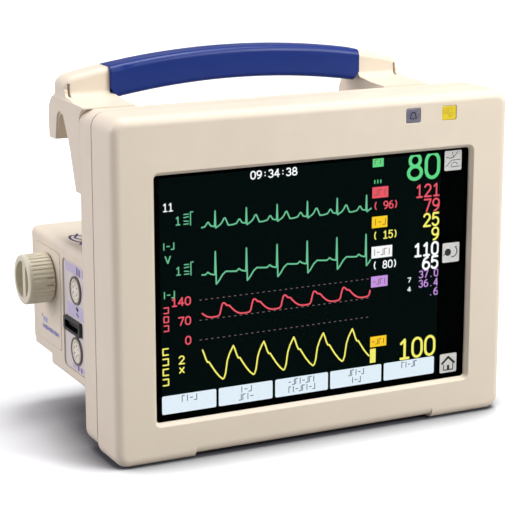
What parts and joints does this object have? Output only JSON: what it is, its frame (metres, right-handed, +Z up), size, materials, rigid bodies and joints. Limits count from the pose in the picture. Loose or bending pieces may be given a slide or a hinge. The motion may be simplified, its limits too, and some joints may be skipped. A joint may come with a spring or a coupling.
{
  "type": "patient monitor",
  "caption": "Portable bedside patient monitor: flat display case with colour screen, lower rear electronics block with side sockets and a knurled lock knob, and an arched carrying handle.",
  "frame": {"origin": "middle of the overall footprint, on the table plane that the two front pads and the rear feet rest on", "axes": "+X to the right as seen from the front, +Y from the screen to the back, +Z up"},
  "size_m": [0.253, 0.135, 0.2111],
  "materials": {
    "case": "fine moulded texture, satin, warm beige",
    "sunk_panel": "fine moulded texture, satin, cooler beige",
    "gasket": "dull black foam rubber",
    "glass": "clear front glass with a black printed border",
    "steel": "plated steel",
    "panel_black": "dark liquid crystal panel",
    "backlight": "white diffuser",
    "aluminium": "milled, plain",
    "lens_grey": "translucent blue grey",
    "lens_yellow": "translucent yellow",
    "circuit_board": "green solder mask",
    "flat_cable": "amber film",
    "grip_blue": "deep blue, glossy with a soft sheen",
    "socket_ring": "dark grey brown",
    "socket_white": "ivory insulator",
    "black_plastic": "black, fine texture",
    "knob": "grey beige, satin",
    "brass": "turned",
    "feet_rubber": "dull black",
    "door_plastic": "fine moulded texture, satin",
    "motor": "drawn steel can",
    "tube_clear": "soft milky silicone"
  },
  "bodies": {
    "root": {"front_bezel": "case", "display_rear_cover": "case", "handle_arm_left": "case", "handle_arm_right": "case", "body_shell": "case", "rear_cover": "case", "knob_panel": "case", "right_panel": "case", "base_keel": "case", "connector_panel": "sunk_panel", "window_gasket": "gasket", "housing_gasket": "gasket", "touch_glass": "glass", "lcd_frame": "steel", "bracket_screws": "steel", "cover_screws": "steel", "inner_screws": "steel", "handle_core_bar": "steel", "rear_cover_screws": "steel", "battery_door_pin": "steel", "handle_screws": "steel", "chassis": "steel", "board_standoffs": "steel", "serial_port": "steel", "cuff_port": "steel", "lcd_panel": "panel_black", "backlight_unit": "backlight", "display_bracket": "aluminium", "heat_sink": "aluminium", "alarm_lens_grey": "lens_grey", "alarm_lens_yellow": "lens_yellow", "alarm_led_board": "circuit_board", "backlight_inverter": "circuit_board", "main_board": "circuit_board", "power_board": "circuit_board", "patient_input_board": "circuit_board", "ribbon_cable": "flat_cable", "handle_grip": "grip_blue", "socket_rings": "socket_ring", "pressure_sockets": "socket_white", "oximeter_connector": "black_plastic", "rocker_bezel": "black_plastic", "switch_body": "black_plastic", "dc_power_inlet": "black_plastic", "speaker": "black_plastic", "battery_pack": "black_plastic", "valve_block": "black_plastic", "pump_head": "black_plastic", "knob_bush": "brass", "ground_post": "brass", "rear_feet": "feet_rubber", "pump_motor": "motor", "air_tube": "tube_clear"},
    "knob": {"lock_knob": "knob", "knob_spindle": "steel", "lock_cam": "steel"},
    "rocker": {"power_rocker": "black_plastic"},
    "battery_door": {"battery_door": "door_plastic"},
    "pump_shaft": {"pump_shaft": "steel"}
  },
  "joints": [
    {"name": "knob_turn", "type": "hinge", "parent": "root", "child": "knob", "pos_m": [-0.1115, 0.0385, 0.0815], "axis": [1, 0, 0], "range_deg": [0, 90]},
    {"name": "rocker_tip", "type": "hinge", "parent": "root", "child": "rocker", "pos_m": [0.0937, 0.0025, 0.082], "axis": [0, 1, 0], "range_deg": [0, 16]},
    {"name": "battery_door_swing", "type": "hinge", "parent": "root", "child": "battery_door", "pos_m": [0.0543, 0.0497, 0.016], "axis": [0, 0, 1], "range_deg": [0, 110]},
    {"name": "pump_spin", "type": "hinge", "parent": "root", "child": "pump_shaft", "pos_m": [-0.0535, 0.0325, 0.063], "axis": [1, 0, 0], "continuous": true}
  ]
}
